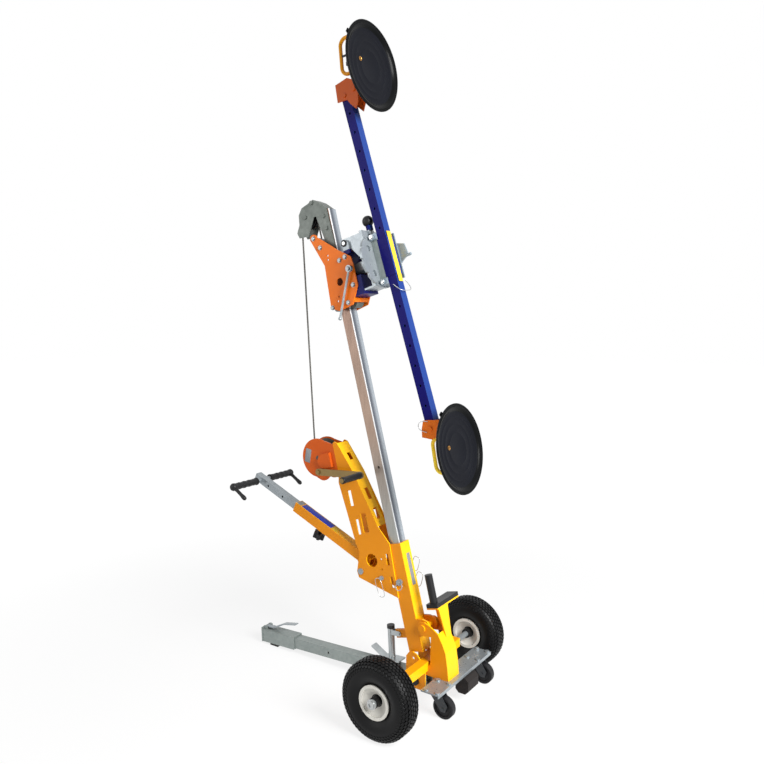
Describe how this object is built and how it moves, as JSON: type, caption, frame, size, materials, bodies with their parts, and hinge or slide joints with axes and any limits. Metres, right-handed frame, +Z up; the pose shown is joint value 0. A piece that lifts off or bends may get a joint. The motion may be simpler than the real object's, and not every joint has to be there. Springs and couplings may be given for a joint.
{
  "type": "glass panel lifter",
  "caption": "Two-wheeled glass panel lifter with a leaning mast, hand winch, lifting carriage, turning bar and suction cups.",
  "frame": {"origin": "on the floor under the middle of the whole machine's box", "axes": "+X forward, the way the cups face; +Y to the machine's left; +Z up"},
  "size_m": [0.9624, 0.689, 2.3209],
  "materials": {
    "orange_paint": "semi-gloss powder coat",
    "yellow_paint": "gloss enamel",
    "blue_paint": "gloss enamel",
    "bright_steel": "drawn and plated",
    "zinc_plate": "zinc plated",
    "tyre_rubber": "matt",
    "rim_plastic": "moulded",
    "black_plastic": "moulded, satin",
    "black_rubber": "moulded, satin"
  },
  "bodies": {
    "chassis": {"chassis_frame": "orange_paint", "axle_bar": "zinc_plate", "caster_plate": "zinc_plate", "bumper_block": "black_rubber", "step_pad": "black_plastic", "leg_pin": "zinc_plate", "tilt_pin": "zinc_plate", "leg_tube": "bright_steel"},
    "wheel_near": {"tyre_near": "tyre_rubber", "rim_near": "rim_plastic"},
    "wheel_far": {"tyre_far": "tyre_rubber", "rim_far": "rim_plastic"},
    "caster_near": {"caster_fork_near": "zinc_plate"},
    "caster_far": {"caster_fork_far": "zinc_plate"},
    "caster_roll_near": {"caster_wheel_near": "black_plastic"},
    "caster_roll_far": {"caster_wheel_far": "black_plastic"},
    "leg_extension": {"leg_sleeve": "bright_steel", "leg_foot": "black_rubber"},
    "leg_lock": {"leg_lever": "zinc_plate"},
    "mast": {"mast_socket": "orange_paint", "tower_frame": "orange_paint", "handle_bolt": "zinc_plate", "mast_tube": "bright_steel", "gooseneck": "zinc_plate", "rope_up": "zinc_plate", "rope_down": "zinc_plate", "winch_frame": "orange_paint"},
    "prop": {"prop_post": "zinc_plate"},
    "sheave_wheel": {"sheave": "black_plastic"},
    "drum": {"winch_drum": "zinc_plate", "rope_winding": "zinc_plate"},
    "crank": {"winch_crank": "zinc_plate"},
    "crank_handle": {"crank_grip": "black_plastic"},
    "carriage": {"carriage_plates": "orange_paint", "carriage_pins": "zinc_plate", "carriage_block": "blue_paint"},
    "roll_front_upper": {"roller_front_upper": "zinc_plate"},
    "roll_front_lower": {"roller_front_lower": "zinc_plate"},
    "roll_rear_upper": {"roller_rear_upper": "zinc_plate"},
    "roll_rear_lower": {"roller_rear_lower": "zinc_plate"},
    "head": {"tilt_head": "zinc_plate"},
    "head_lock": {"tilt_lever": "zinc_plate"},
    "plunger": {"plunger_knob": "black_plastic"},
    "bar": {"index_disc": "zinc_plate", "bar_straps": "zinc_plate", "lift_bar": "blue_paint", "cup_bracket_upper": "orange_paint", "cup_bracket_lower": "orange_paint"},
    "cup_upper": {"cup_pad_upper": "black_rubber", "cup_handle_upper": "yellow_paint"},
    "pump_upper": {"cup_pump_upper": "black_plastic"},
    "cup_lower": {"cup_pad_lower": "black_rubber", "cup_handle_lower": "yellow_paint"},
    "pump_lower": {"cup_pump_lower": "black_plastic"},
    "handle": {"handle_sleeve": "orange_paint"},
    "handle_slider": {"handle_tube": "bright_steel", "handle_grips": "black_plastic"},
    "handle_screw": {"handle_knob": "black_plastic"},
    "mast_pin": {"socket_pin": "zinc_plate"},
    "tower_pin": {"snap_pin": "zinc_plate"}
  },
  "joints": [
    {"name": "wheel_near_spin", "type": "hinge", "parent": "chassis", "child": "wheel_near", "pos_m": [0.33472, -0.302, 0.13], "axis": [0, 1, 0], "continuous": true},
    {"name": "wheel_far_spin", "type": "hinge", "parent": "chassis", "child": "wheel_far", "pos_m": [0.33472, 0.302, 0.13], "axis": [0, 1, 0], "continuous": true},
    {"name": "caster_near_swivel", "type": "hinge", "parent": "chassis", "child": "caster_near", "pos_m": [0.41772, -0.085, 0.09], "axis": [0, 0, 1], "continuous": true},
    {"name": "caster_near_spin", "type": "hinge", "parent": "caster_near", "child": "caster_roll_near", "pos_m": [0.44372, -0.085, 0.0375], "axis": [0, 1, 0], "continuous": true},
    {"name": "caster_far_swivel", "type": "hinge", "parent": "chassis", "child": "caster_far", "pos_m": [0.41772, 0.199, 0.09], "axis": [0, 0, 1], "continuous": true},
    {"name": "caster_far_spin", "type": "hinge", "parent": "caster_far", "child": "caster_roll_far", "pos_m": [0.44372, 0.199, 0.0375], "axis": [0, 1, 0], "continuous": true},
    {"name": "leg_extend", "type": "slide", "parent": "chassis", "child": "leg_extension", "axis": [-0.999, 0, -0.0445], "range_m": [-0.07, 0.05]},
    {"name": "leg_lever_lift", "type": "hinge", "parent": "leg_extension", "child": "leg_lock", "pos_m": [-0.43002, 0, 0.06722], "axis": [0, 1, 0], "range_deg": [-40, 8]},
    {"name": "mast_tilt", "type": "hinge", "parent": "chassis", "child": "mast", "pos_m": [0.32638, 0, 0.25754], "axis": [0, 1, 0], "range_deg": [0, 14.5]},
    {"name": "prop_swing", "type": "hinge", "parent": "mast", "child": "prop", "pos_m": [0.21269, 0, 0.19895], "axis": [0, 1, 0], "range_deg": [0, 60]},
    {"name": "carriage_slide", "type": "slide", "parent": "mast", "child": "carriage", "axis": [-0.2524, 0, 0.9676], "range_m": [-0.65, 0], "deforming": ["rope_down"]},
    {"name": "sheave_turn", "type": "hinge", "parent": "mast", "child": "sheave_wheel", "pos_m": [-0.19237, 0, 1.68244], "axis": [0, 1, 0], "range_deg": [-3, 1017]},
    {"name": "drum_turn", "type": "hinge", "parent": "mast", "child": "drum", "pos_m": [-0.13445, 0, 0.79741], "axis": [0, 1, 0], "range_deg": [-3, 676]},
    {"name": "crank_turn", "type": "hinge", "parent": "mast", "child": "crank", "pos_m": [-0.10899, 0, 0.75134], "axis": [0, 1, 0], "range_deg": [-2695, 3]},
    {"name": "grip_spin", "type": "hinge", "parent": "crank", "child": "crank_handle", "pos_m": [0.08265, -0.11, 0.76306], "axis": [0, 1, 0], "continuous": true},
    {"name": "roller_front_upper_turn", "type": "hinge", "parent": "carriage", "child": "roll_front_upper", "pos_m": [-0.01586, 0, 1.51766], "axis": [0, 1, 0], "range_deg": [-3, 1995]},
    {"name": "roller_front_lower_turn", "type": "hinge", "parent": "carriage", "child": "roll_front_lower", "pos_m": [0.02276, 0, 1.36962], "axis": [0, 1, 0], "range_deg": [-3, 1995]},
    {"name": "roller_rear_upper_turn", "type": "hinge", "parent": "carriage", "child": "roll_rear_upper", "pos_m": [-0.10333, 0, 1.56615], "axis": [0, 1, 0], "range_deg": [-2722, 3]},
    {"name": "roller_rear_lower_turn", "type": "hinge", "parent": "carriage", "child": "roll_rear_lower", "pos_m": [-0.0473, 0, 1.35134], "axis": [0, 1, 0], "range_deg": [-2722, 3]},
    {"name": "head_tilt", "type": "hinge", "parent": "carriage", "child": "head", "pos_m": [0.00069, 0, 1.57624], "axis": [0, 1, 0], "range_deg": [-20, 0]},
    {"name": "head_lock_swing", "type": "hinge", "parent": "carriage", "child": "head_lock", "pos_m": [0.03495, -0.058, 1.48648], "axis": [0, 1, 0], "range_deg": [-21, 14]},
    {"name": "plunger_pull", "type": "slide", "parent": "head", "child": "plunger", "axis": [-0.2982, 0, 0.9545], "range_m": [0, 0.012], "stiffness_N_per_m": 800, "springref_m": -0.01},
    {"name": "bar_turn", "type": "hinge", "parent": "head", "child": "bar", "pos_m": [0.11459, 0, 1.50843], "axis": [0.9545, 0, 0.2982], "continuous": true},
    {"name": "cup_upper_tilt", "type": "hinge", "parent": "bar", "child": "cup_upper", "pos_m": [0.02968, 0, 2.10212], "axis": [0, 1, 0], "range_deg": [-6, 6]},
    {"name": "cup_lower_tilt", "type": "hinge", "parent": "bar", "child": "cup_lower", "pos_m": [0.37798, 0, 0.95374], "axis": [0, 1, 0], "range_deg": [-6, 6]},
    {"name": "pump_upper_press", "type": "slide", "parent": "cup_upper", "child": "pump_upper", "axis": [0.0958, 0, -0.9954], "range_m": [0, 0.012], "stiffness_N_per_m": 500, "springref_m": -0.01},
    {"name": "pump_lower_press", "type": "slide", "parent": "cup_lower", "child": "pump_lower", "axis": [-0.1822, 0, 0.9833], "range_m": [0, 0.012], "stiffness_N_per_m": 500, "springref_m": -0.01},
    {"name": "handle_swing", "type": "hinge", "parent": "mast", "child": "handle", "pos_m": [0.06494, 0, 0.40482], "axis": [0, 1, 0], "range_deg": [-30, 8]},
    {"name": "handle_extend", "type": "slide", "parent": "handle", "child": "handle_slider", "axis": [-0.9171, 0, 0.3987], "range_m": [-0.06, 0.1]},
    {"name": "handle_knob_turn", "type": "hinge", "parent": "handle", "child": "handle_screw", "pos_m": [-0.15332, 0, 0.49973], "axis": [0.3987, 0, 0.9171], "continuous": true},
    {"name": "socket_pin_pull", "type": "slide", "parent": "mast", "child": "mast_pin", "axis": [0, -1, 0], "range_m": [0, 0.065]},
    {"name": "snap_pin_pull", "type": "slide", "parent": "mast", "child": "tower_pin", "axis": [0, -1, 0], "range_m": [0, 0.08]}
  ],
  "couplings": [
    {"joint": "sheave_turn", "follows": "carriage_slide", "rad_per_m": -27.211},
    {"joint": "drum_turn", "follows": "carriage_slide", "rad_per_m": -18.067},
    {"joint": "crank_turn", "follows": "carriage_slide", "rad_per_m": 72.267},
    {"joint": "roller_front_upper_turn", "follows": "carriage_slide", "rad_per_m": -53.476},
    {"joint": "roller_front_lower_turn", "follows": "carriage_slide", "rad_per_m": -53.476},
    {"joint": "roller_rear_upper_turn", "follows": "carriage_slide", "rad_per_m": 72.993},
    {"joint": "roller_rear_lower_turn", "follows": "carriage_slide", "rad_per_m": 72.993}
  ]
}
